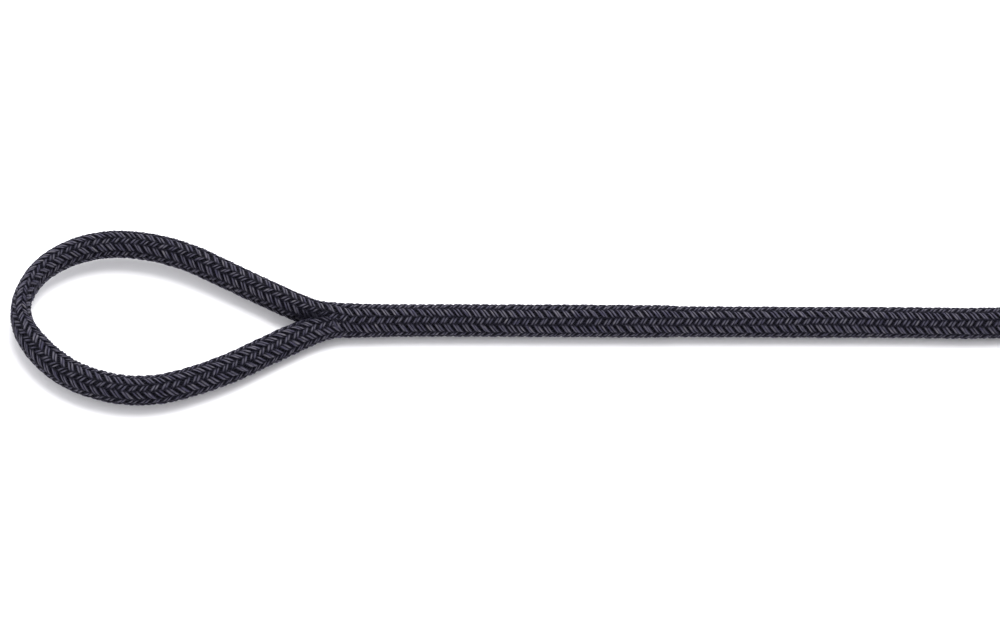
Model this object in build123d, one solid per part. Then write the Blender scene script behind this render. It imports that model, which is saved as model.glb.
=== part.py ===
from build123d import *
import math
import os

# A double-braid nylon dock line, in millimetres. It lies on the plane Z = 0: a spliced eye at
# the left, the standing part along +X, and the rest of the line put away in a tied oval hank.
# The origin is at the middle of the eye's opening.

# Rope
ROPE_D = 12.7
ROPE_R = ROPE_D / 2
COVER_WALL = 2.1
BRAID_CLEARANCE = 0.1
LIE = ROPE_R + 0.05

# Splice: the cover is fatter where the rope's tail is buried inside the core
SPLICE_R = 6.65
SPLICE_START_X = 85.0
SPLICE_END_X = 205.0
SPLICE_LIE = SPLICE_R + 0.05
SPLICE_Y = 0.4
END_GAP = 0.5
TAIL_R = 2.2
TAIL_L = 113.0
TAIL_TAPER = 28.0
TAIL_TIP_R = 1.0

# Hank: an oval coil, drawn in at its waist by a strap
HANK_Y = -10.5
HANK_NEAR_X = 421.0
HALF_RUN = 7.4 * ROPE_D
HANK_X = HANK_NEAR_X + HALF_RUN
LOOP_R = 4.0 * ROPE_D
LOOP_HOLE_R = 2.0 * ROPE_D
LAYERS = 4
LAYER_PITCH = 0.95 * ROPE_D
HANK_H = ROPE_D + (LAYERS - 1) * LAYER_PITCH
HANK_EDGE_R = 0.4 * ROPE_D
WAIST_HALF = 2.0 * ROPE_D
WAIST_ARC_R = (HALF_RUN**2 + WAIST_HALF**2 - LOOP_R**2) / (2 * (LOOP_R - WAIST_HALF))

# Strap round the waist of the hank, flush with it
STRAP_W = 20.0
STRAP_T = 1.8
STRAP_CLEARANCE = 0.1
STRAP_CORNER_R = 6.0

# Bitter end: it lies on the hank, is whipped with twine and has a heat-sealed tip
WHIPPING_T = 0.6
WHIPPING_L = 11.0
WHIPPING_TO_END = 6.0
TIP_L = 3.0
TIP_R = 5.9
END_LIE = HANK_H + ROPE_R + WHIPPING_T + 0.2

# The eye and the standing part, from the lower leg's end at the throat to the hank
LINE_ROUTE = [
    (49.0, -10.2, LIE),
    (24.0, -25.5, LIE),
    (-6.0, -38.7, LIE + 0.2),
    (-33.5, -34.3, LIE + 0.8),
    (-51.5, -18.5, LIE + 1.4),
    (-60.0, 2.5, LIE + 1.8),
    (-51.5, 25.5, LIE + 2.2),
    (-27.5, 38.0, LIE + 3.4),
    (2.5, 34.4, LIE + 4.6),
    (31.0, 17.0, LIE + 4.4),
    (54.0, 4.6, LIE + 2.6),
    (80.0, 0.7, SPLICE_LIE + 0.1),
    (122.0, 0.5, SPLICE_LIE),
    (180.0, 0.2, SPLICE_LIE),
    (240.0, -0.2, LIE),
    (296.0, -0.3, LIE),
    (328.0, -1.0, LIE),
    (354.0, 0.8, LIE),
    (377.5, 11.0, LIE),
]

# The lower leg's last stretch, which goes into the mouth of the standing part
THROAT_ROUTE = [(49.0, -10.2, LIE), (72.0, 0.0, LIE)]

# The bitter end on top of the hank: X from the hank's middle, Y from its centre line, Z
END_ROUTE = [
    (24.0, 18.0, HANK_H - 6.0),
    (44.0, 20.5, HANK_H + 4.5),
    (67.0, 25.5, END_LIE),
    (91.0, 30.5, END_LIE),
    (119.0, 24.5, END_LIE),
]


def route_line(name, points):
    """Straight runs joined by tangent arcs, each as large as its two runs allow."""
    corners = [Vector(*p) for p in points]
    radii = []
    for before, corner, after in zip(corners, corners[1:], corners[2:]):
        shorter = min((corner - before).length, (after - corner).length)
        half_turn = math.radians((corner - before).get_angle(after - corner)) / 2
        radii.append(0.45 * shorter / math.tan(half_turn))
    print(name, "radii in rope diameters:", [round(r / ROPE_D, 1) for r in radii])
    return FilletPolyline(*points, radius=radii)


def tube(name, path, outer, inner=0.0):
    """A round tube along the path, solid when inner is 0, checked against section times length."""
    section = Circle(outer) if inner == 0 else Circle(outer) - Circle(inner)
    body = sweep(Plane(origin=path @ 0, z_dir=path % 0) * section, path=path)
    expected = math.pi * (outer**2 - inner**2) * path.length
    print(name, "length", round(path.length, 1), "volume ratio", round(body.volume / expected, 5))
    return body


def between(body, low_x=None, high_x=None):
    """The stretch of a body between two planes across X."""
    if low_x is not None:
        body = split(body, bisect_by=Plane.YZ.offset(low_x), keep=Keep.TOP)
    if high_x is not None:
        body = split(body, bisect_by=Plane.YZ.offset(high_x), keep=Keep.BOTTOM)
    return body


def strap_slab(inset, width):
    """A slab across the waist of the hank, this far inside the strap's outer faces."""
    outline = RectangleRounded(
        2 * (WAIST_HALF - inset),
        HANK_H - 2 * inset,
        STRAP_CORNER_R - inset,
    )
    across = Plane(
        origin=(HANK_X - width / 2, HANK_Y, HANK_H / 2),
        x_dir=(0, 1, 0),
        z_dir=(1, 0, 0),
    )
    return extrude(across * outline, amount=width)


def make_strap():
    return strap_slab(0, STRAP_W) - strap_slab(STRAP_T, STRAP_W + 2)


def make_hank():
    """The outer shape of the coil: two round end loops, drawn together at the waist."""
    lean = math.degrees(math.atan2(HALF_RUN, WAIST_HALF + WAIST_ARC_R))
    loop_sweep = 180 + 2 * lean
    arc_centre = WAIST_HALF + WAIST_ARC_R
    outline = make_face(
        [
            CenterArc((HALF_RUN, 0), LOOP_R, -90 - lean, loop_sweep),
            CenterArc((-HALF_RUN, 0), LOOP_R, 90 - lean, loop_sweep),
            CenterArc((0, arc_centre), WAIST_ARC_R, -90 - lean, 2 * lean),
            CenterArc((0, -arc_centre), WAIST_ARC_R, 90 - lean, 2 * lean),
        ]
    )
    body = extrude(outline, amount=HANK_H)
    flats = body.faces().filter_by(Axis.Z)
    body = fillet(flats.edges(), HANK_EDGE_R)
    for side in (-1, 1):
        body -= Pos(side * HALF_RUN, 0, HANK_H / 2) * Cylinder(LOOP_HOLE_R, 2 * HANK_H)
    body = Pos(HANK_X, HANK_Y, 0) * body
    groove_w = STRAP_W + 2 * STRAP_CLEARANCE
    groove = strap_slab(-STRAP_T, groove_w) - strap_slab(STRAP_T + STRAP_CLEARANCE, groove_w)
    return body - groove


def tail_space():
    """A plane at the start of the buried tail, facing along the splice."""
    start = Vector(SPLICE_START_X + END_GAP, SPLICE_Y, SPLICE_LIE)
    return Plane(origin=start, x_dir=(0, 1, 0), z_dir=(1, 0, 0))


def make_buried_tail():
    """The rope's tail inside the core, with a tapered end."""
    full = TAIL_L - TAIL_TAPER
    profile = Polyline((0, 0), (TAIL_R, 0), (TAIL_R, full), (TAIL_TIP_R, TAIL_L), (0, TAIL_L), close=True)
    turned = revolve(Plane.XZ * make_face(profile), axis=Axis.Z)
    return tail_space() * turned


def make_tail_bore():
    """The space inside the core that holds the buried tail."""
    bore = extrude(Circle(TAIL_R + BRAID_CLEARANCE), amount=TAIL_L + 2 * END_GAP)
    return tail_space().offset(-2 * END_GAP) * bore


def end_ring(path, back, length, outer, inner=0.0):
    """A round piece on the bitter end's axis, starting this far back from the cover's end."""
    start = Plane(origin=path @ 1, z_dir=path % 1).offset(-back)
    section = Circle(outer) if inner == 0 else Circle(outer) - Circle(inner)
    return extrude(start * section, amount=length)


def make_parts():
    line = route_line("line", LINE_ROUTE)
    core_r = ROPE_R - COVER_WALL - BRAID_CLEARANCE
    cover = tube("cover", line, ROPE_R, ROPE_R - COVER_WALL)
    core = tube("core", line, core_r)
    fat_cover = tube("splice cover", line, SPLICE_R, SPLICE_R - COVER_WALL)
    fat_core = tube("splice core", line, SPLICE_R - COVER_WALL - BRAID_CLEARANCE)
    hank = make_hank()

    end_points = [(HANK_X + x, HANK_Y + y, z) for x, y, z in END_ROUTE]
    end_line = route_line("bitter end", end_points)
    end_cover = tube("end cover", end_line, ROPE_R, ROPE_R - COVER_WALL)
    end_core = tube("end core", end_line, core_r)

    throat = tube("throat", Polyline(*THROAT_ROUTE), ROPE_R)
    standing_solid = between(tube("leg", line, ROPE_R), None, SPLICE_START_X)
    return {
        "cover_eye": between(cover, None, SPLICE_START_X),
        "core_eye": between(core, None, SPLICE_START_X),
        "throat_tuck": throat - standing_solid,
        "cover_splice": between(fat_cover, SPLICE_START_X, SPLICE_END_X),
        "core_splice": between(fat_core, SPLICE_START_X, SPLICE_END_X) - make_tail_bore(),
        "buried_tail": make_buried_tail(),
        "cover_standing": between(cover, SPLICE_END_X) - hank,
        "core_standing": between(core, SPLICE_END_X) - hank,
        "hank": hank,
        "strap": make_strap(),
        "cover_bitter_end": end_cover - hank,
        "core_bitter_end": end_core - hank,
        "whipping": end_ring(
            end_line,
            WHIPPING_TO_END + WHIPPING_L,
            WHIPPING_L,
            ROPE_R + WHIPPING_T,
            ROPE_R + 0.05,
        ),
        "sealed_tip": end_ring(end_line, 0, TIP_L, TIP_R),
    }


os.makedirs("parts", exist_ok=True)
for node, shape in make_parts().items():
    print(node, "solids", len(shape.solids()))
    export_step(shape, f"parts/{node}.step")
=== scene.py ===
"""A double-braid dock line: a spliced eye, the standing part, and the rest in a tied hank."""

import math

import bpy
import numpy as np
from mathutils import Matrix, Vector


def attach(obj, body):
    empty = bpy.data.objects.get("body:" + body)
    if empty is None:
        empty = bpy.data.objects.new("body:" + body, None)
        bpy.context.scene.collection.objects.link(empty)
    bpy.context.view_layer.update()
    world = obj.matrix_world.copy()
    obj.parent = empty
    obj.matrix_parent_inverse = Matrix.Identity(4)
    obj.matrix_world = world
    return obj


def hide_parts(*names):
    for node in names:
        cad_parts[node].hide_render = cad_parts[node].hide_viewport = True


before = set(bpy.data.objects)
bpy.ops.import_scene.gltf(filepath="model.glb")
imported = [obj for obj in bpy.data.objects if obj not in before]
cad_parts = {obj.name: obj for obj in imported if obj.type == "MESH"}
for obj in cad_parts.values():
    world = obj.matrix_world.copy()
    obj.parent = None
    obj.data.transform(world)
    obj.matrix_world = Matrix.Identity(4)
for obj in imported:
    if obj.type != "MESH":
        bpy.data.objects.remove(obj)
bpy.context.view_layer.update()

MM = 0.001

# ---------------------------------------------------------------- the rope, in metres
ROPE_D = 0.0127
LIE = 0.0064
SPLICE_LIE = 0.0067
SAMPLE_STEP = 0.0005
SPLINE_RESOLUTION = 48

# The cover's radius on the lower leg, and how much less it is on the upper leg and in the tuck
LEG_R = 6.05 * MM
UPPER_LEG_LESS = 0.30 * MM
TUCK_LESS = 0.8 * MM
SPLICE_R = 6.62 * MM
STANDING_R = 6.29 * MM

# The crown is inside this first length of the rope. The other places are given by their x
CROWN_WITHIN = 0.3
THROAT_X = 0.066
SPLICE_END_X = 0.203
HANK_BRAID_X = 0.352

# Changes along the rope: how far before their place they begin, and over what length they rise
LEG_RISE = (0.025, 0.040)
MOUTH_RISE = (0.008, 0.012)
LAY_RISE = (0.010, 0.030)
TURN_RISE = (0.012, 0.024)
LIP_RISE = (0.0, 0.003)
STANDING_RISE = (0.005, 0.010)
# How far after their place they end, and over what length they fall
TUCK_FALL = (0.030, 0.026)
LIP_RIM_FALL = (0.014, 0.012)
LIP_FULL_FALL = (0.030, 0.020)

# Round the crown the rope's section is an oval: where its middle is, and how far it reaches
OVAL_AFTER_CROWN = 0.011
OVAL_REACH = 0.025
OVAL_NARROWER = 0.37
OVAL_TALLER = 0.16

# The cover's mouth bulges over the leg that goes into it, on this side of the rope
LIP_ANGLE = math.radians(200)
LIP_RIM = 0.7 * MM
LIP_FULLNESS = 0.6 * MM

# Cover braid: 12 carriers each way, over two and under two, two yarns to a carrier
CARRIERS = 12
FLOATS = 6
LAY_STANDING = 0.0436
LAY_EYE = 0.0490
# How far the braid is turned round the rope, in degrees: lower leg, upper leg, past the throat
BRAID_TURNS = (15, 6, 25)
# The slow swing of the whole braid round the rope, made of a slow wave and a faster one
BRAID_SWAY = math.radians(2.6)
SWAY_SLOW = 0.031
SWAY_FAST = 0.012
SWAY_START = 1.0
SWAY_FAST_SHARE = 0.6
# A yarn goes further round the rope for its length where it floats than where it lies beneath
FLOAT_LEAN = 0.42
FLOAT_FLATNESS = 1.4
# The right-hand yarns float for a shorter stretch than the left-hand ones
FLOAT_BIAS = -0.24
# How sharply a yarn's painted highlight and wear give way to painted shade where it dives beneath
WEAR_AND_PAINTED_LIGHT_FLATNESS = 2.6
BRAID_LIFT = 0.41 * MM
YARN_SHIFT = math.radians(5.2)
YARN_WIDE = 0.96 * MM
YARN_THICK = 1.04 * MM
NARROWER_BENEATH = 0.12
# How much a yarn swells and thins along its length, and how far it strays from its true line
YARN_SWELL = 0.15
SWELL_WAVE = 0.0037
WOBBLE = 0.034
WOBBLE_SLOW = 0.0047
WOBBLE_FAST = 0.0019
WOBBLE_FAST_SHARE = 0.7

# Sections of a strand and of two yarns side by side: across and out, in half widths
ROUND_SIDES = 8
ROUND = [(math.cos(a), math.sin(a)) for a in np.arange(ROUND_SIDES) * math.tau / ROUND_SIDES]
TWO_YARNS = [
    (1.0, 0.0), (0.82, 0.72), (0.45, 0.96), (0.0, 0.30), (-0.45, 0.96),
    (-0.82, 0.72), (-1.0, 0.0), (-0.6, -0.8), (0.6, -0.8),
]
# How a yarn is modelled in the view and in the hank: its step round the rope, section and width
SINGLE_YARN = (math.radians(5), ROUND, YARN_WIDE)
PAIRED_YARN = (math.radians(10), TWO_YARNS, 2.1 * YARN_WIDE)

# The line of the crease between the two legs, and how far round it the yarns are in its shade
CREASE = ((0.0500, -0.0014, 0.0092), (0.0640, -0.0010, 0.0098))
CREASE_REACH = 0.0026
CREASE_SHADE = 0.19

# Core braid
CORE_DEPTH = 0.19
CORE_STEP = 0.0015
CORE_SIDES = 16

# ---------------------------------------------------------------- the hank, in metres
HANK_Y = -0.0105
HANK_NEAR_X = 0.421
HALF_RUN = 7.4 * ROPE_D
HANK_X = HANK_NEAR_X + HALF_RUN
LOOP_R = 4.0 * ROPE_D
WAIST_HALF = 2.0 * ROPE_D
WAIST_ARC_R = (HALF_RUN**2 + WAIST_HALF**2 - LOOP_R**2) / (2 * (LOOP_R - WAIST_HALF))
LAYER_PITCH = 0.95 * ROPE_D
HANK_H = ROPE_D + 3 * LAYER_PITCH
HANK_COVER_PIECES = 4

# The coil's cells from first turn to last: rope diameters in from the outline, and layer
CELLS = [(0.5, 0), (1.5, 0), (1.5, 1), (0.5, 1), (0.5, 2), (1.5, 2), (1.5, 3)]
TURNS = len(CELLS) - 1
POINTS_PER_TURN = 32
LAST_POINTS = 5
# The share of a turn in which it changes to the next cell, and where on the first turn this ends
CHANGE_SHARE = 0.12
CHANGE_LAST = 0.92
# The strap pulls the runs together at the waist, over this length each way
SQUEEZE = 0.07
SQUEEZE_REACH = 0.028

# Strap
STRAP_W = 0.020
STRAP_T = 0.0017
STRAP_OVERLAP = 0.034
STRAP_BITE = 0.0005
STRAP_STEP = 0.0004
STRAP_SMOOTHING = 15
# The overlap climbs over the strap's start in this length
STRAP_CLIMB = 0.008
STRAP_END_R = 0.004
STRAP_END_NARROWER = 0.12
FACE_POINTS = 64
BACK_EVERY = 4
WEAVE_ACROSS = 0.0016
WEAVE_ALONG = 0.0024
WEAVE_HEIGHT = 0.10 * MM
RIB_PITCH = 0.0012
RIB_HEIGHT = 0.16 * MM
# The weave's height over which the webbing goes from painted shade to painted highlight
WEAVE_SHADE_HEIGHT = 0.4 * MM
# Shares of the strap's half width: where its ribbed edge begins, how soon it is full, where it thins
SELVEDGE_START = 0.86
SELVEDGE_RISE = 0.06
EDGE_START = 0.93
EDGE_THINNER = 0.55

# The strap's seam
SEAM_W = 0.0144
SEAM_L = 0.014
SEAM_TO_END = 0.004
STITCH_D = 0.55 * MM
STITCH_PITCH = 2.4 * MM
STITCH_ARCH = 0.3 * MM
STITCH_POINTS = 9
STITCH_SPAN = (0.1, 0.9)

# ---------------------------------------------------------------- the bitter end, in metres
WHIPPING_L = 0.011
WHIPPING_TO_END = 0.006
WHIPPING_BITE = 0.0004
TWINE_D = 0.85 * MM
TWINE_PITCH = 0.92 * MM
TWINE_POINTS_PER_TURN = 32
# The whipping's stitches, in pairs: their points, spread, slant and fullness, and in twine
# diameters how far they run past the turns, how high they stand and how deep their ends are
PAIRS = 3
PAIR_SPREAD = 0.14
PAIR_POINTS = 28
PAIR_SLANT = 0.5
PAIR_FULLNESS = 0.35
PAIR_OVERRUN = 0.7
PAIR_RISE = 1.15
PAIR_SINK = 0.6

TIP_L = 0.0046
TIP_R = 0.0062
TIP_RINGS = 30
TIP_SIDES = 96
# Shares of the tip: its radius where it leaves the cover, where it is full, where its dome begins
TIP_START_R = 0.84
TIP_FULL_AT = 0.3
TIP_DOME_AT = 0.40
TIP_DOME_POWER = 2.4
TIP_LEAST = 0.0004
TIP_TILT = 0.05
YARN_END_HEIGHT = 0.10 * MM
SMALL_LUMP = 0.12 * MM
LARGE_LUMP = 0.16 * MM
COVER_TO_END = 0.0026
END_LIE = HANK_H + ROPE_D / 2 + 0.0008

# ---------------------------------------------------------------- the routes, in metres
# The eye and the standing part, from the lower leg's end inside the throat
LINE_ROUTE = [
    (0.0750, -0.0006, LIE + 0.0004),
    (0.0645, -0.0028, LIE + 0.0004),
    (0.0560, -0.0064, LIE),
    (0.0440, -0.0135, LIE + 0.0001),
    (0.0230, -0.0273, LIE + 0.0008),
    (-0.0060, -0.0384, LIE + 0.0014),
    (-0.0337, -0.0314, LIE + 0.0016),
    (-0.0510, -0.0157, LIE + 0.0024),
    (-0.0600, 0.0026, LIE + 0.0030),
    (-0.0518, 0.0263, LIE + 0.0034),
    (-0.0275, 0.0394, LIE + 0.0034),
    (0.0025, 0.0351, LIE + 0.0032),
    (0.0310, 0.0190, LIE + 0.0016),
    (0.0510, 0.0072, LIE + 0.0016),
    (0.0625, 0.0018, LIE + 0.0012),
    (0.0750, 0.0003, SPLICE_LIE + 0.0002),
    (0.1220, 0.0005, SPLICE_LIE),
    (0.1800, 0.0002, SPLICE_LIE),
    (0.2400, -0.0002, LIE),
    (0.2960, -0.0003, LIE),
    (0.3280, -0.0010, LIE),
    (0.3500, 0.0005, LIE),
    (0.3700, 0.0080, LIE),
    (0.3880, 0.0190, LIE),
    (0.4050, 0.0290, LIE),
]

# The bitter end on top of the hank: X from the hank's middle, Y from its centre line, Z
END_ROUTE = [
    (0.0240, 0.0180, HANK_H - 0.0060),
    (0.0440, 0.0205, HANK_H - 0.0030),
    (0.0670, 0.0255, HANK_H + 0.0025),
    (0.0910, 0.0305, END_LIE - 0.0008),
    (0.1190, 0.0245, END_LIE),
]

# ---------------------------------------------------------------- the stage
CAMERA_ELEVATION = math.radians(51.0)
CAMERA_DISTANCE = 2.0
CAMERA_TARGET = (0.1347, 0.0009, LIE)
VIEW_WIDTH = 0.402
SENSOR_WIDTH_MM = 36.0
LAMP_PLACE = (0.36, 0.42, 1.6)
LAMP_TARGET = (0.14, 0, 0)
LAMP_SIZE = 1.3
LAMP_POWER = 32.5
SKY_COLOUR = (0.975, 0.97, 1.0, 1.0)
SKY_STRENGTH = 1.22
FLOOR_COLOUR = (0.92, 0.92, 0.93, 1.0)
FLOOR_REACH = 6.0
FLOOR_Z = -0.0003


# ---------------------------------------------------------------- small helpers
def smooth(x):
    """From 0 to 1 as x goes from 0 to 1, level at both ends."""
    x = np.clip(x, 0.0, 1.0)
    return x * x * (3 - 2 * x)


def unit(v):
    return v / np.linalg.norm(v, axis=-1, keepdims=True)


def run_along(line):
    """The distance along a line of each of its points."""
    return np.concatenate([[0], np.cumsum(np.linalg.norm(np.diff(line, axis=0), axis=1))])


def interpolated(at, run, values):
    """The vectors at some distances, from the vectors at the distances in run."""
    return np.stack([np.interp(at, run, values[:, k]) for k in range(values.shape[1])], axis=-1)


def resampled(line, step):
    """The line again in even steps, and the distance along it of each new point."""
    run = run_along(line)
    at = np.linspace(0, run[-1], int(run[-1] / step))
    return interpolated(at, run, line), at


# ---------------------------------------------------------------- the route
def coil_place(share, inset):
    """A point on the coil's plan, this share of a turn from the near loop's top, inset."""
    lean = math.atan2(HALF_RUN, WAIST_HALF + WAIST_ARC_R)
    arc_centre = WAIST_HALF + WAIST_ARC_R
    loop_r = LOOP_R - inset
    waist_r = WAIST_ARC_R + inset
    quarter = math.pi / 2
    # centre, radius, starting angle, and angle turned (clockwise round a loop)
    stretches = [
        ((-HALF_RUN, 0), loop_r, quarter, -lean),
        ((0, arc_centre), waist_r, -quarter - lean, 2 * lean),
        ((HALF_RUN, 0), loop_r, quarter + lean, -math.pi - 2 * lean),
        ((0, -arc_centre), waist_r, quarter - lean, 2 * lean),
        ((-HALF_RUN, 0), loop_r, lean - quarter, -math.pi - lean),
    ]
    middle_inset = ROPE_D
    lengths = [
        abs(turn) * (LOOP_R - middle_inset if turn < 0 else WAIST_ARC_R + middle_inset)
        for _, _, _, turn in stretches
    ]
    left = share * sum(lengths)
    for (centre, radius, start, turn), length in zip(stretches, lengths):
        if left <= length:
            break
        left -= length
    angle = start + turn * min(left / length, 1.0)
    return centre[0] + radius * math.cos(angle), centre[1] + radius * math.sin(angle)


def coil_points():
    """The hank's turns. Each turn changes to the next cell a little before the turn under it does."""
    points = []
    for step in range(TURNS * POINTS_PER_TURN + LAST_POINTS):
        turn, step_in_turn = divmod(step, POINTS_PER_TURN)
        share = step_in_turn / POINTS_PER_TURN
        begin = CHANGE_LAST - CHANGE_SHARE * (turn + 1)
        change = float(smooth((share - begin) / CHANGE_SHARE)) if turn < TURNS else 0.0
        here = CELLS[turn]
        there = CELLS[min(turn + 1, TURNS)]
        inset = (here[0] + change * (there[0] - here[0])) * ROPE_D
        layer = here[1] + change * (there[1] - here[1])
        x, y = coil_place(share, inset)
        points.append(squeezed(x, y, LIE + layer * LAYER_PITCH))
    return points


def squeezed(x, y, z):
    """A place in the hank, from its middle, drawn in towards the strap's middle."""
    share = SQUEEZE * math.exp(-((x / SQUEEZE_REACH) ** 2))
    middle = HANK_H / 2
    return HANK_X + x, HANK_Y + y * (1 - share), z + (middle - z) * share


def spline_line(points):
    """The smooth line of a route: a NURBS spline with the route's points as its control points."""
    curve = bpy.data.curves.new("route", "CURVE")
    curve.dimensions = "3D"
    curve.resolution_u = SPLINE_RESOLUTION
    spline = curve.splines.new("NURBS")
    spline.points.add(len(points) - 1)
    for control, place in zip(spline.points, points):
        control.co = (*place, 1.0)
    spline.order_u = 3
    spline.use_endpoint_u = True
    holder = bpy.data.objects.new("route", curve)
    mesh = bpy.data.meshes.new_from_object(holder)
    line = np.array([v.co for v in mesh.vertices], float)
    bpy.data.objects.remove(holder)
    bpy.data.curves.remove(curve)
    bpy.data.meshes.remove(mesh)
    return line


class Rope:
    """The rope's centre line, sampled evenly, with its section and its braid along it."""

    def __init__(self, line):
        along = run_along(line)
        self.length = float(along[-1])
        self.s = np.linspace(0, self.length, int(self.length / SAMPLE_STEP))
        self.p = interpolated(self.s, along, line)
        tangent = unit(np.gradient(self.p, axis=0))
        self.side = unit(np.cross((0.0, 0.0, 1.0), tangent))
        self.up = np.cross(tangent, self.side)
        self.crown = float(self.s[np.argmin(self.p[: int(CROWN_WITHIN / SAMPLE_STEP), 0])])
        self.throat = self.place_of(THROAT_X)
        self.splice_end = self.place_of(SPLICE_END_X)
        self.hank_braid = self.place_of(HANK_BRAID_X)
        self.leg = self.rise(self.crown, LEG_RISE)
        self.shape_section()
        self.shape_lip()
        self.lay_braid()

    def place_of(self, x):
        """The distance along the rope at which it first passes x, beyond the crown."""
        beyond = self.s > self.crown
        return float(self.s[beyond][np.argmax(self.p[beyond, 0] > x)])

    def rise(self, place, change):
        """From 0 to 1 along the rope, round a place on it."""
        before, length = change
        return smooth((self.s - place + before) / length)

    def fall(self, place, change):
        """From 1 to 0 along the rope, beyond a place on it."""
        after, length = change
        return smooth((place + after - self.s) / length)

    def shape_section(self):
        """The cover's radius, and how narrow and tall its section is, all along the rope."""
        radius = LEG_R - UPPER_LEG_LESS * self.leg - TUCK_LESS * self.fall(0.0, TUCK_FALL)
        radius = radius + self.rise(self.throat, MOUTH_RISE) * (SPLICE_R - radius)
        self.radius = radius + self.rise(self.splice_end, STANDING_RISE) * (STANDING_R - radius)
        round_crown = np.exp(-(((self.s - self.crown - OVAL_AFTER_CROWN) / OVAL_REACH) ** 2))
        self.wide = 1 - OVAL_NARROWER * round_crown
        self.tall = 1 + OVAL_TALLER * round_crown

    def shape_lip(self):
        """How far the cover's mouth bulges over the leg, all along the rope."""
        rim = LIP_RIM * self.fall(self.throat, LIP_RIM_FALL)
        fullness = LIP_FULLNESS * self.fall(self.throat, LIP_FULL_FALL)
        self.lip = self.rise(self.throat, LIP_RISE) * (rim + fullness)

    def lay_braid(self):
        """The braid's phase, which grows a full turn in each lay, and its turn round the rope."""
        lay = LAY_EYE + self.rise(self.throat, LAY_RISE) * (LAY_STANDING - LAY_EYE)
        self.phase = np.concatenate([[0], np.cumsum(math.tau * SAMPLE_STEP / lay[:-1])])
        lower, upper, standing = np.radians(BRAID_TURNS)
        past = self.rise(self.throat, TURN_RISE)
        sway = np.sin(self.s / SWAY_SLOW + SWAY_START) + SWAY_FAST_SHARE * np.sin(self.s / SWAY_FAST)
        turn = lower + (upper - lower) * self.leg + (standing - upper) * past
        self.turn = turn + BRAID_SWAY * sway

    def at(self, s):
        """Centre, side, up, radius, width share and height share at these distances."""
        vectors = [interpolated(s, self.s, v) for v in (self.p, self.side, self.up)]
        shares = [np.interp(s, self.s, v) for v in (self.radius, self.wide, self.tall)]
        return vectors + shares

    def surface(self, s, angle, height):
        """Points at these distances along and angles round, this much above the rope's surface."""
        centre, side, up, radius, wide, tall = self.at(s)
        facing = np.clip(np.cos(angle - LIP_ANGLE), 0, 1)
        r = radius + height + np.interp(s, self.s, self.lip) * facing
        across = (r * wide * np.cos(angle))[..., None] * side
        return centre + (across + (r * tall * np.sin(angle))[..., None] * up)


# ---------------------------------------------------------------- meshes
class Builder:
    """Collects tubes, and makes one mesh of them."""

    def __init__(self):
        self.points = []
        self.coords = []
        self.crowns = []
        self.quads = []
        self.caps = []
        self.count = 0

    def tube(self, rings, coords, crown):
        """A closed tube through rings of points, an array of rings x sides x 3."""
        n, sides = rings.shape[:2]
        index = self.count + np.arange(n * sides).reshape(n, sides)
        ahead = np.roll(index, -1, axis=1)
        self.quads.append(np.stack([index[:-1], ahead[:-1], ahead[1:], index[1:]], -1).reshape(-1, 4))
        self.caps += [index[0][::-1], index[-1]]
        self.points.append(rings.reshape(-1, 3))
        self.coords.append(coords.reshape(-1, 3))
        self.crowns.append(np.broadcast_to(crown, (n, sides)).ravel())
        self.count += n * sides

    def strand(self, centre, axis, radius, seed):
        """A round strand along its centre line; axis is a point beneath each of its points."""
        tangent = unit(np.gradient(centre, axis=0))
        across = unit(np.cross(centre - axis, tangent))
        out = np.cross(tangent, across)
        rings = np.stack([centre + radius * (x * across + y * out) for x, y in ROUND], axis=1)
        coords = np.empty(rings.shape)
        coords[..., 0] = run_along(centre)[:, None]
        coords[..., 1] = np.arange(ROUND_SIDES) / ROUND_SIDES
        coords[..., 2] = seed
        self.tube(rings, coords, np.array([y for _, y in ROUND]) / 2 + 0.5)

    def make(self, name, material):
        """One object. Each point keeps its place on its yarn, and how far out of the braid it is,
        made less near the crease; the materials paint shade, highlight and some wear from this.
        """
        points = np.concatenate(self.points)
        quads = np.concatenate(self.quads)
        mesh = bpy.data.meshes.new(name)
        mesh.vertices.add(len(points))
        mesh.vertices.foreach_set("co", points.astype(np.float32).ravel())
        sizes = np.concatenate([np.full(len(quads), 4), [len(c) for c in self.caps]]).astype(np.int32)
        loops = np.concatenate([quads.ravel(), *self.caps]).astype(np.int32)
        mesh.loops.add(len(loops))
        mesh.loops.foreach_set("vertex_index", loops)
        mesh.polygons.add(len(sizes))
        starts = np.concatenate([[0], np.cumsum(sizes)[:-1]]).astype(np.int32)
        mesh.polygons.foreach_set("loop_start", starts)
        mesh.polygons.foreach_set("use_smooth", np.ones(len(sizes), bool))
        mesh.update(calc_edges=True)
        yarn = mesh.attributes.new("yarn", "FLOAT_VECTOR", "POINT")
        yarn.data.foreach_set("vector", np.concatenate(self.coords).astype(np.float32).ravel())
        crown = mesh.attributes.new("crown", "FLOAT", "POINT")
        crown.data.foreach_set("value", np.concatenate(self.crowns).astype(np.float32))
        mesh.materials.append(material)
        piece = bpy.data.objects.new(name, mesh)
        bpy.context.scene.collection.objects.link(piece)
        return piece


# ---------------------------------------------------------------- the cover's braid
def wander(s, seed):
    """A small slow swing of a yarn from its true line, in radians round the rope."""
    start = seed * math.tau
    fast = WOBBLE_FAST_SHARE * np.sin(s / WOBBLE_FAST + 3 * start)
    return WOBBLE * (np.sin(s / WOBBLE_SLOW + start) + fast)


def float_wave(angle, flatness):
    """From 1 where a left-hand yarn floats on top to -1 where it lies beneath."""
    return np.tanh(flatness * (np.sin(FLOATS * angle) - FLOAT_BIAS)) / math.tanh(flatness)


def crease_shade(points):
    """How much darker the yarns are near the crease between the legs."""
    start, end = np.array(CREASE)
    line = end - start
    share = np.clip((points - start) @ line / (line @ line), 0, 1)
    distance = np.linalg.norm(points - start - share[:, None] * line, axis=1)
    return CREASE_SHADE * np.exp(-((distance / CREASE_REACH) ** 2))


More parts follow.
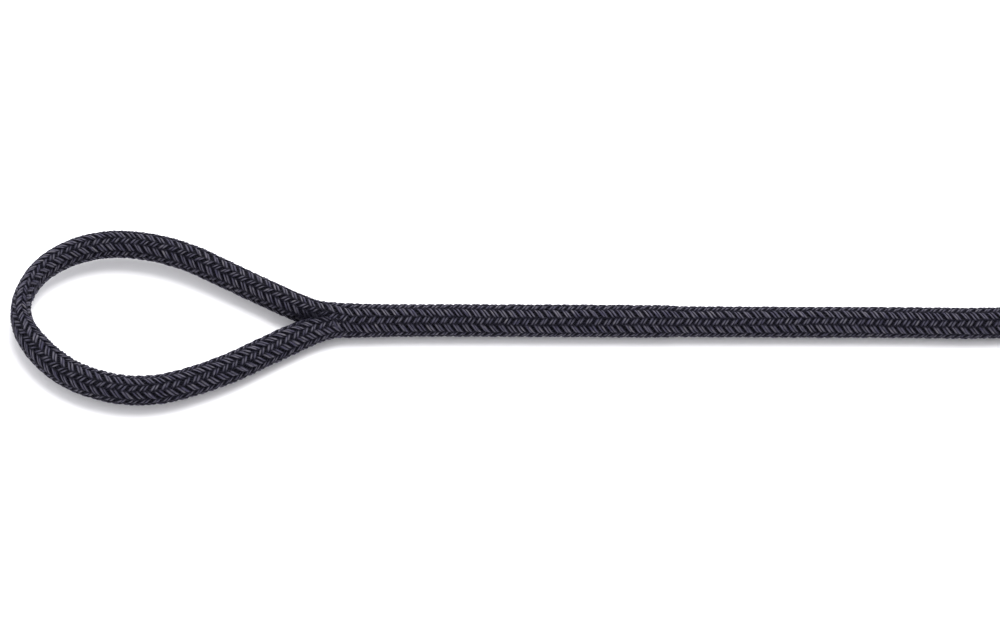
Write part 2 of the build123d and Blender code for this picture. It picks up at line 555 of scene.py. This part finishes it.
def yarn_path(rope, first, last, hand, start_angle, step):
    """A yarn's distances along the rope and angles round it, between two distances."""
    lean = FLOAT_LEAN / FLOATS
    phase_a, phase_b = np.interp((first, last), rope.s, rope.phase)
    low, high = sorted((hand * phase_a + start_angle, hand * phase_b + start_angle))
    steps = np.arange(math.floor((low - 2 * lean) / step), math.ceil((high + 2 * lean) / step) + 1)
    angle = steps * step
    phase = hand * (angle - start_angle) + lean * np.cos(FLOATS * angle)
    if hand < 0:
        angle, phase = angle[::-1], phase[::-1]
    inside = (phase > phase_a) & (phase < phase_b)
    ends = np.interp((phase_a, phase_b), phase, angle)
    angle = np.concatenate([[ends[0]], angle[inside], [ends[1]]])
    phase = np.concatenate([[phase_a], phase[inside], [phase_b]])
    return np.interp(phase, rope.phase, rope.s), angle


def add_yarn(builder, rope, first, last, hand, start_angle, seed, kind):
    """One yarn of the cover between two distances along the rope. hand is 1 or -1."""
    step, profile, wide = kind
    s, angle = yarn_path(rope, first, last, hand, start_angle, step)
    lift = hand * BRAID_LIFT * float_wave(angle, FLOAT_FLATNESS)
    depth = lift - BRAID_LIFT - YARN_THICK / 2
    turned = angle + np.interp(s, rope.s, rope.turn) + wander(s, seed)
    centre = rope.surface(s, turned, depth)
    out = unit(rope.surface(s, turned, depth + MM) - centre)
    tangent = unit(np.gradient(centre, axis=0))
    across = unit(np.cross(out, tangent))
    out = np.cross(tangent, across)
    beneath = 0.5 - 0.5 * lift / BRAID_LIFT
    swell = 1 + YARN_SWELL * np.sin(s / SWELL_WAVE + 9 * math.tau * seed)
    half_wide = (wide / 2 * (1 - NARROWER_BENEATH * beneath) * swell)[:, None]
    half_thick = (YARN_THICK / 2 * swell)[:, None]
    rings = np.stack(
        [centre + x * half_wide * across + y * half_thick * out for x, y in profile],
        axis=1,
    )
    coords = np.empty(rings.shape)
    coords[..., 0] = run_along(centre)[:, None]
    coords[..., 1] = np.abs(np.linspace(-1, 1, len(profile), endpoint=False))[None]
    coords[..., 2] = seed
    # Painted light with some wear: lighter on a float's top and along the yarn's top, painted shade
    # where it lies beneath and in the crease
    wear_and_painted_light = hand * float_wave(angle, WEAR_AND_PAINTED_LIGHT_FLATNESS)[:, None] + np.array([y for _, y in profile])[None]
    builder.tube(rings, coords, wear_and_painted_light / 4 + 0.5 - crease_shade(centre)[:, None])


def add_lay(builder, rope, first, last, hand, single, rng):
    """All the yarns of one hand between two distances along the rope."""
    spacing = math.tau / CARRIERS
    phase_shift = 0.0 if hand > 0 else spacing / 2
    for carrier in range(CARRIERS):
        start = carrier * spacing + phase_shift
        seeds = rng.random(2)
        if single:
            for side, seed in zip((-1, 1), seeds):
                angle = start + side * YARN_SHIFT
                add_yarn(builder, rope, first, last, hand, angle, seed, SINGLE_YARN)
        else:
            add_yarn(builder, rope, first, last, hand, start, seeds[0], PAIRED_YARN)


def core_tube(rope, material):
    """The core braid, seen between the cover's yarns, and its centre line."""
    end = rope.length - COVER_TO_END
    s = np.linspace(0, end, int(end / CORE_STEP))
    angle = np.arange(CORE_SIDES) * math.tau / CORE_SIDES
    along, around = np.meshgrid(s, angle, indexing="ij")
    depth = np.interp(along, rope.s, -rope.radius * CORE_DEPTH)
    rings = rope.surface(along, around, depth)
    coords = np.stack([along, around / math.tau, np.zeros_like(along)], axis=-1)
    builder = Builder()
    builder.tube(rings, coords, 0.0)
    return builder.make("core_braid", material), rope.at(s)[0]


# ---------------------------------------------------------------- the bitter end
def whipping_lines(rope):
    """The twine's turns, and then its stitches: distance along the rope, angle round it, height."""
    first = rope.length - WHIPPING_TO_END - WHIPPING_L
    turns = int(WHIPPING_L / TWINE_PITCH)
    share = np.linspace(0, 1, turns * TWINE_POINTS_PER_TURN)
    lines = [(first + share * WHIPPING_L, share * turns * math.tau, np.zeros_like(share))]
    share = np.linspace(0, 1, PAIR_POINTS)
    rise = np.sin(share * math.pi) ** PAIR_FULLNESS * PAIR_RISE * TWINE_D - PAIR_SINK * TWINE_D
    overrun = PAIR_OVERRUN * TWINE_D
    along = first - overrun + share * (WHIPPING_L + 2 * overrun)
    for pair in range(PAIRS):
        for stitch in range(2):
            start = pair * math.tau / PAIRS + stitch * PAIR_SPREAD
            lines.append((along, start + PAIR_SLANT * share, rise))
    return lines


def whipping_twine(rope, material):
    """Twine wound round the rope near its end, with three pairs of stitches over the turns."""
    builder = Builder()
    lines = whipping_lines(rope)
    for number, (s, angle, rise) in enumerate(lines):
        centre = rope.surface(s, angle, TWINE_D / 2 + rise - WHIPPING_BITE)
        builder.strand(centre, rope.at(s)[0], TWINE_D / 2, number / len(lines))
    return builder.make("end_whipping", material)


def melted_tip(rope, material):
    """The rope's end, melted to a lumpy dome in which the yarns' ends still show."""
    share = np.sin(np.linspace(0, math.pi / 2, TIP_RINGS))
    angle = np.arange(TIP_SIDES) * math.tau / TIP_SIDES
    along, around = np.meshgrid(share, angle, indexing="ij")
    dome = np.clip(along - TIP_DOME_AT, 0, 1) / (1 - TIP_DOME_AT)
    radius = TIP_R * (TIP_START_R + (1 - TIP_START_R) * smooth(along / TIP_FULL_AT))
    radius = radius * np.sqrt(np.clip(1 - dome**TIP_DOME_POWER, TIP_LEAST, 1))
    yarn_ends = YARN_END_HEIGHT * np.cos(2 * CARRIERS * around + 5 * dome)
    lumps = SMALL_LUMP * np.cos(7 * around + 2.0) + LARGE_LUMP * np.cos(3 * around)
    radius = radius + (yarn_ends + lumps) * (1 - dome) * np.clip(3 * along, 0, 1)
    s = rope.length - TIP_L + along * TIP_L
    centre, side, up = rope.at(s)[:3]
    across = (radius * np.cos(around))[..., None] * side
    tilt = TIP_TILT * radius * np.cos(around - 1.0) * dome
    rings = centre + across + (radius * np.sin(around))[..., None] * up
    rings = rings + tilt[..., None] * np.cross(side, up)
    coords = np.stack([along * TIP_L, around / math.tau, np.zeros_like(along)], axis=-1)
    builder = Builder()
    builder.tube(rings, coords, dome)
    return builder.make("end_melted_tip", material)


# ---------------------------------------------------------------- the strap
def strap_loop(rope):
    """The strap's closed line round the hank's middle, in y and z, drawn tight round the runs."""
    beside = rope.p[:, 0] - HANK_X
    crossing = np.flatnonzero(np.diff(np.sign(beside)) != 0)
    runs = rope.p[crossing][:, 1:]
    angle = np.radians(np.arange(90, -270, -1.0))
    normal = np.stack([np.cos(angle), np.sin(angle)], axis=1)
    touched = runs[np.argmax(normal @ runs.T, axis=1)]
    line = touched + normal * (rope.radius[crossing].mean() + STRAP_T / 2 - STRAP_BITE)
    line = np.concatenate([line, line[:1]])
    line[:, 1] = np.maximum(line[:, 1], STRAP_T / 2)
    return line


def smoothed(loop):
    """The same closed line with its corners eased, by a moving average."""
    weights = np.hanning(STRAP_SMOOTHING)
    half = STRAP_SMOOTHING // 2
    closed = np.concatenate([loop[-half - 1 : -1], loop, loop[1 : half + 1]])
    columns = [np.convolve(closed[:, k], weights / weights.sum(), "valid") for k in range(2)]
    return np.stack(columns, axis=1)


def strap_line(rope):
    """The strap's line, which goes once round and then over its own start, its normals and run."""
    loop = smoothed(resampled(strap_loop(rope), STRAP_STEP)[0])
    around = np.concatenate([loop, loop[1 : int(STRAP_OVERLAP / STRAP_STEP)]])
    line, run = resampled(around, STRAP_STEP)
    tangent = unit(np.gradient(line, axis=0))
    out = np.stack([-tangent[:, 1], tangent[:, 0]], axis=1)
    once_round = run[-1] - STRAP_OVERLAP
    over = smooth((run - once_round + STRAP_CLIMB / 2) / STRAP_CLIMB)
    return line + out * (over * STRAP_T)[:, None], out, run


def strap_band(line, out, run, material):
    """The strap: woven webbing with ribbed edges, plain inside and rounded at its free end."""
    # One section: the woven outer face, then the plain inner face
    outer = np.linspace(-1, 1, FACE_POINTS)
    inner = outer[::-BACK_EVERY]
    face = np.concatenate([outer, inner])
    top = np.concatenate([np.ones_like(outer), -np.ones_like(inner)])
    along = run[:, None]
    to_end = np.clip(1 - (run[-1] - run) / STRAP_END_R, 0, 1)
    end_round = np.sqrt(np.clip(1 - to_end**2, 0.02, 1))[:, None]
    warp = face * STRAP_W / 2
    weave = np.sin(math.tau * warp[None] / WEAVE_ACROSS) * np.sin(math.tau * along / WEAVE_ALONG)
    selvedge = smooth((np.abs(face) - SELVEDGE_START) / SELVEDGE_RISE)[None]
    rib = 0.5 + 0.5 * np.cos(math.tau * along / RIB_PITCH)
    woven = WEAVE_HEIGHT * weave * (1 - selvedge) + RIB_HEIGHT * rib * selvedge
    lift = np.where(top > 0, woven, 0.0)
    near_edge = np.clip((np.abs(face) - EDGE_START) / (1 - EDGE_START), 0, 1)
    height = top * (STRAP_T / 2 * (1 - EDGE_THINNER * near_edge**2)) + lift
    x = HANK_X + face[None] * STRAP_W / 2 * (1 - STRAP_END_NARROWER * (1 - end_round))
    yz = line[:, None, :] + out[:, None, :] * height[..., None]
    rings = np.concatenate([x[..., None], yz], axis=-1)
    coords = np.stack([along + 0 * x, x - HANK_X, np.zeros_like(x)], axis=-1)
    builder = Builder()
    # How far the weave stands up, which the webbing turns into painted highlight and shade
    builder.tube(rings, coords, 0.5 + lift / WEAVE_SHADE_HEIGHT)
    return builder.make("hank_strap", material)


def strap_stitches(line, out, run, material):
    """A sewn rectangle of stitches that holds the strap's overlap."""
    builder = Builder()
    end = run[-1] - SEAM_TO_END
    start = end - SEAM_L
    edge = SEAM_W / 2
    corners = [(end, -edge), (end, edge), (start, edge), (start, -edge), (end, -edge)]
    arch = np.sin(np.linspace(0, math.pi, STITCH_POINTS)) * STITCH_ARCH
    for (a_run, a_x), (b_run, b_x) in zip(corners, corners[1:]):
        count = round(math.hypot(b_run - a_run, b_x - a_x) / STITCH_PITCH)
        for stitch in range(count):
            share = (stitch + np.linspace(*STITCH_SPAN, STITCH_POINTS)) / count
            at_run = a_run + (b_run - a_run) * share
            x = a_x + (b_x - a_x) * share
            normal = interpolated(at_run, run, out)
            yz = interpolated(at_run, run, line) + normal * (STRAP_T / 2 + arch)[:, None]
            centre = np.concatenate([HANK_X + x[:, None], yz], axis=1)
            below = centre - np.concatenate([np.zeros((STITCH_POINTS, 1)), normal], axis=1)
            builder.strand(centre, below, STITCH_D / 2, stitch / count)
    return builder.make("strap_stitches", material)


# ---------------------------------------------------------------- materials
class Nodes:
    """A short way to write a material's nodes."""

    def __init__(self, name):
        self.material = bpy.data.materials.new(name)
        self.material.use_nodes = True
        self.tree = self.material.node_tree
        self.shader = self.tree.nodes["Principled BSDF"]

    def add(self, kind, **settings):
        node = self.tree.nodes.new(kind)
        for key, value in settings.items():
            setattr(node, key, value)
        return node

    def link(self, source, target):
        self.tree.links.new(source, target)

    def attribute(self, name, output="Vector"):
        return self.add("ShaderNodeAttribute", attribute_name=name).outputs[output]

    def stretched(self, vector, scale):
        node = self.add("ShaderNodeVectorMath", operation="MULTIPLY")
        self.link(vector, node.inputs[0])
        node.inputs[1].default_value = scale
        return node.outputs[0]

    def noise(self, vector, scale, detail=3.0):
        node = self.add("ShaderNodeTexNoise")
        node.inputs["Scale"].default_value = scale
        node.inputs["Detail"].default_value = detail
        self.link(vector, node.inputs["Vector"])
        return node.outputs["Fac"]

    def ramp(self, value, stops):
        node = self.add("ShaderNodeValToRGB")
        ramp = node.color_ramp
        while len(ramp.elements) < len(stops):
            ramp.elements.new(0.5)
        for element, (place, colour) in zip(ramp.elements, stops):
            element.position = place
            element.color = (*colour, 1.0)
        self.link(value, node.inputs["Fac"])
        return node.outputs["Color"]

    def range(self, value, low, high, to_low, to_high):
        node = self.add("ShaderNodeMapRange")
        for socket, number in zip(node.inputs[1:5], (low, high, to_low, to_high)):
            socket.default_value = number
        self.link(value, node.inputs["Value"])
        return node.outputs["Result"]

    def times(self, a, b):
        """One colour multiplied by another."""
        node = self.add("ShaderNodeMix", data_type="RGBA", blend_type="MULTIPLY")
        node.inputs["Factor"].default_value = 1.0
        self.link(a, node.inputs["A"])
        self.link(b, node.inputs["B"])
        return node.outputs["Result"]

    def base(self, source, plain):
        """The base colour, and the plain colour that stands for it where the pattern isn't read."""
        self.link(source, self.shader.inputs["Base Color"])
        self.shader.inputs["Base Color"].default_value = (*plain, 1.0)

    def bump(self, height, strength, distance):
        node = self.add("ShaderNodeBump")
        node.inputs["Strength"].default_value = strength
        node.inputs["Distance"].default_value = distance
        self.link(height, node.inputs["Height"])
        self.link(node.outputs["Normal"], self.shader.inputs["Normal"])


def yarn_material(name, deep, flank, ridge, plain):
    """Bundles of fine nylon filament, with a painted highlight and some wear lighter on top, and
    painted shade darker down in the braid.
    """
    m = Nodes(name)
    yarn = m.attribute("yarn")
    streak = m.noise(m.stretched(yarn, (420.0, 9.0, 53.0)), 1.0, 4.0)
    patch = m.noise(m.stretched(yarn, (260.0, 0.0, 91.0)), 1.0, 2.0)
    # deep is painted shade down in the braid, ridge a painted highlight with some wear on top of each
    # yarn
    height = m.ramp(m.attribute("crown", "Fac"), [(0.42, deep), (0.87, flank), (1.0, ridge)])
    shade = m.ramp(streak, [(0.36, (0.38, 0.38, 0.44)), (0.66, (1.22, 1.22, 1.22))])
    violet, grey, pale = (0.50, 0.48, 0.68), (0.95, 0.94, 1.0), (1.55, 1.53, 1.38)
    tint = m.ramp(patch, [(0.30, violet), (0.52, grey), (0.72, pale)])
    m.base(m.times(m.times(height, shade), tint), plain)
    m.link(m.range(streak, 0.3, 0.7, 0.62, 0.46), m.shader.inputs["Roughness"])
    m.bump(streak, 0.35, 0.00012)
    m.shader.inputs["Sheen Weight"].default_value = 0.14
    m.shader.inputs["Sheen Roughness"].default_value = 0.45
    m.shader.inputs["Sheen Tint"].default_value = (0.62, 0.60, 0.85, 1.0)
    m.shader.inputs["Specular IOR Level"].default_value = 0.08
    return m.material


def cover_material():
    # deep is painted shade, ridge a painted highlight with some wear
    deep, flank, ridge = (0.0004, 0.0003, 0.0038), (0.0036, 0.0032, 0.0076), (0.092, 0.088, 0.106)
    return yarn_material("cover_yarn", deep, flank, ridge, plain=(0.026, 0.025, 0.033))


def core_material():
    deep, flank, ridge = (0.002, 0.002, 0.004), (0.010, 0.010, 0.016), (0.020, 0.020, 0.028)
    return yarn_material("core_yarn", deep, flank, ridge, plain=(0.008, 0.008, 0.012))


def twine_material():
    """Waxed twine: two plies twisted together, with a dull shine."""
    m = Nodes("waxed_twine")
    yarn = m.attribute("yarn")
    ply = m.add("ShaderNodeTexWave", wave_type="BANDS", bands_direction="DIAGONAL")
    ply.inputs["Scale"].default_value = 1.0
    ply.inputs["Distortion"].default_value = 0.4
    m.link(m.stretched(yarn, (900.0, 3.0, 11.0)), ply.inputs["Vector"])
    speck = m.noise(m.stretched(yarn, (700.0, 6.0, 31.0)), 1.0)
    dark, light = (0.005, 0.005, 0.010), (0.040, 0.039, 0.062)
    plies = m.ramp(ply.outputs["Fac"], [(0.15, dark), (0.85, light)])
    flecks = m.ramp(speck, [(0.3, (0.6, 0.6, 0.6)), (0.7, (1.0, 1.0, 1.0))])
    m.base(m.times(plies, flecks), (0.020, 0.020, 0.030))
    m.link(m.range(speck, 0.3, 0.7, 0.38, 0.55), m.shader.inputs["Roughness"])
    m.bump(ply.outputs["Fac"], 0.5, 0.0002)
    m.shader.inputs["Specular IOR Level"].default_value = 0.35
    return m.material


def melted_material():
    """Nylon that has melted and set: black and lumpy, glossy in some places and dull in others."""
    m = Nodes("melted_nylon")
    place = m.add("ShaderNodeTexCoord").outputs["Object"]
    lump = m.noise(place, 900.0, 4.0)
    lumps = m.ramp(lump, [(0.35, (0.004, 0.004, 0.006)), (0.70, (0.028, 0.022, 0.024))])
    m.base(lumps, (0.014, 0.012, 0.014))
    m.link(m.range(lump, 0.3, 0.7, 0.22, 0.60), m.shader.inputs["Roughness"])
    m.bump(lump, 0.5, 0.0003)
    m.shader.inputs["Specular IOR Level"].default_value = 0.45
    return m.material


def webbing_material():
    """Black woven webbing, with a painted highlight where the weave stands up and painted shade where
    it dips.
    """
    m = Nodes("black_webbing")
    yarn = m.attribute("yarn")
    speck = m.noise(m.stretched(yarn, (2600.0, 2600.0, 1.0)), 1.0, 5.0)
    worn = m.noise(m.stretched(yarn, (90.0, 90.0, 1.0)), 1.0, 3.0)
    low, high = (0.003, 0.003, 0.004), (0.038, 0.038, 0.041)
    # Painted shade in the weave's dips, painted highlight on its raised threads and ribs
    weave = m.ramp(m.attribute("crown", "Fac"), [(0.30, low), (0.85, high)])
    fibre = m.times(weave, m.ramp(speck, [(0.3, (0.5, 0.5, 0.5)), (0.7, (1.0, 1.0, 1.0))]))
    rubbed = m.times(fibre, m.ramp(worn, [(0.4, (0.8, 0.8, 0.8)), (0.7, (1.3, 1.3, 1.25))]))
    m.base(rubbed, (0.018, 0.018, 0.020))
    m.link(m.range(speck, 0.3, 0.7, 0.60, 0.80), m.shader.inputs["Roughness"])
    m.bump(speck, 0.4, 0.00015)
    m.shader.inputs["Sheen Weight"].default_value = 0.08
    m.shader.inputs["Specular IOR Level"].default_value = 0.15
    return m.material


# ---------------------------------------------------------------- the stage
def make_camera():
    camera = bpy.data.cameras.new("camera")
    eye = bpy.data.objects.new("camera", camera)
    bpy.context.scene.collection.objects.link(eye)
    bpy.context.scene.camera = eye
    camera.sensor_width = SENSOR_WIDTH_MM
    camera.lens = SENSOR_WIDTH_MM * CAMERA_DISTANCE / VIEW_WIDTH
    eye.location = (
        CAMERA_TARGET[0],
        CAMERA_TARGET[1] - CAMERA_DISTANCE * math.cos(CAMERA_ELEVATION),
        CAMERA_TARGET[2] + CAMERA_DISTANCE * math.sin(CAMERA_ELEVATION),
    )
    eye.rotation_euler = (math.pi / 2 - CAMERA_ELEVATION, 0, 0)
    bpy.context.scene.view_settings.view_transform = "Standard"


def make_floor():
    m = Nodes("floor_paper")
    m.shader.inputs["Base Color"].default_value = FLOOR_COLOUR
    m.shader.inputs["Roughness"].default_value = 0.9
    m.shader.inputs["Specular IOR Level"].default_value = 0.0
    mesh = bpy.data.meshes.new("floor")
    corners = ((-1, -1), (1, -1), (1, 1), (-1, 1))
    mesh.from_pydata([(x * FLOOR_REACH, y * FLOOR_REACH, 0) for x, y in corners], [], [(0, 1, 2, 3)])
    mesh.materials.append(m.material)
    floor = bpy.data.objects.new("floor", mesh)
    bpy.context.scene.collection.objects.link(floor)
    floor.location.z = FLOOR_Z


def make_sky():
    world = bpy.data.worlds.new("studio")
    bpy.context.scene.world = world
    world.use_nodes = True
    background = world.node_tree.nodes["Background"]
    background.inputs["Color"].default_value = SKY_COLOUR
    background.inputs["Strength"].default_value = SKY_STRENGTH


def make_lamp():
    """One large soft lamp, above the line and a little behind it."""
    light = bpy.data.lights.new("key", "AREA")
    light.shape = "DISK"
    light.size = LAMP_SIZE
    light.energy = LAMP_POWER
    lamp = bpy.data.objects.new("key", light)
    lamp.location = LAMP_PLACE
    towards = Vector(LAMP_TARGET) - Vector(LAMP_PLACE)
    lamp.rotation_euler = towards.to_track_quat("-Z", "Y").to_euler()
    bpy.context.scene.collection.objects.link(lamp)


# ---------------------------------------------------------------- the pieces
def declare(piece, nodes=()):
    """The piece rides on the one body and stands for the nodes, whose CAD parts are hidden."""
    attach(piece, "root")
    if nodes:
        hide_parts(*nodes)


def cover_stretches(rope):
    """The cover's stretches: name, start, end, whether its yarns are single, and its CAD nodes."""
    cuts = np.linspace(rope.hank_braid, rope.length - COVER_TO_END, HANK_COVER_PIECES + 1)
    hank_nodes = {1: ["hank"], HANK_COVER_PIECES: ["cover_bitter_end"]}
    in_view = [
        ("eye", 0.0, rope.throat, True, ["cover_eye", "throat_tuck"]),
        ("splice", rope.throat, rope.splice_end, True, ["cover_splice"]),
        ("standing", rope.splice_end, rope.hank_braid, True, ["cover_standing"]),
    ]
    in_hank = [
        (f"hank_{number}", first, last, False, hank_nodes.get(number, []))
        for number, (first, last) in enumerate(zip(cuts, cuts[1:]), 1)
    ]
    return in_view + in_hank


def make_cover(rope, material):
    """The cover: for each stretch, its left-hand yarns and then its right-hand ones."""
    rng = np.random.default_rng(7)
    pieces = []
    for name, first, last, single, nodes in cover_stretches(rope):
        for lay, hand in (("left", 1), ("right", -1)):
            builder = Builder()
            add_lay(builder, rope, first, last, hand, single, rng)
            piece = builder.make(f"cover_{name}_{lay}_lay", material)
            declare(piece, nodes if lay == "left" else ())
            pieces.append(piece)
    return pieces


def make_strap(rope):
    webbing = webbing_material()
    line, out, run = strap_line(rope)
    declare(strap_band(line, out, run, webbing), ["strap"])
    declare(strap_stitches(line, out, run, twine_material()))


def make_dock_line():
    """The rope along its whole route, its pieces on the one body, with its ends and its strap."""
    ends = [squeezed(*place) for place in END_ROUTE]
    rope = Rope(spline_line(LINE_ROUTE + coil_points() + ends))
    cover_stuff = cover_material()
    core, path = core_tube(rope, core_material())
    core_nodes = ["core_eye", "core_splice", "core_standing", "core_bitter_end", "buried_tail"]
    declare(core, core_nodes)
    cover = make_cover(rope, cover_stuff)
    twine = whipping_twine(rope, twine_material())
    declare(twine, ["whipping"])
    tip = melted_tip(rope, melted_material())
    declare(tip, ["sealed_tip"])
    make_strap(rope)


make_camera()
make_floor()
make_sky()
make_lamp()
make_dock_line()
